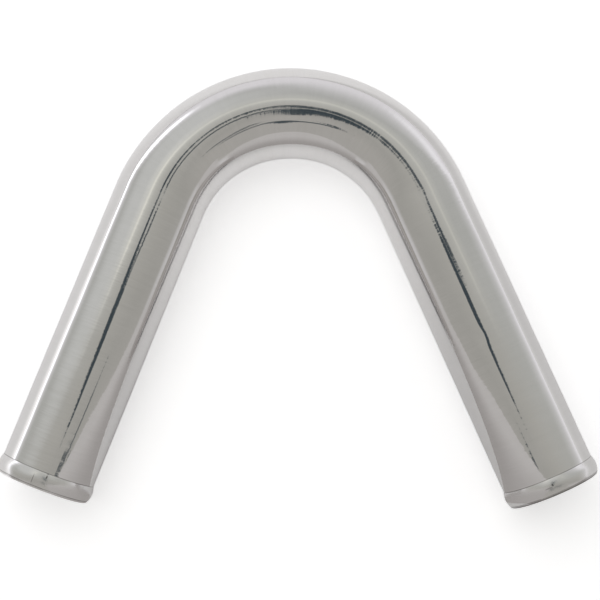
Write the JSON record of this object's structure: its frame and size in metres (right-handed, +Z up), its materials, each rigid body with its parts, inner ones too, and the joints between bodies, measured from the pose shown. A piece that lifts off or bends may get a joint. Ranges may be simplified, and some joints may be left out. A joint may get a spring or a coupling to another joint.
{
  "type": "bent tube elbow",
  "caption": "Thin polished aluminium tube bent through 135 degrees, with straight legs 45 degrees apart and a rolled hose bead at each open end.",
  "frame": {"origin": "on the surface the tube lies on, under the middle of its bounding box", "axes": "+Z up, at right angles to the plane of the bend; +Y from the open ends towards the bend; +X from the left leg to the right leg"},
  "size_m": [0.4814, 0.3667, 0.0788],
  "materials": {
    "polished_aluminium": "polished almost to a mirror, with faint fine hairlines running round the tube and slight waviness at the bend"
  },
  "bodies": {
    "root": {"elbow_tube": "polished_aluminium"}
  },
  "joints": []
}
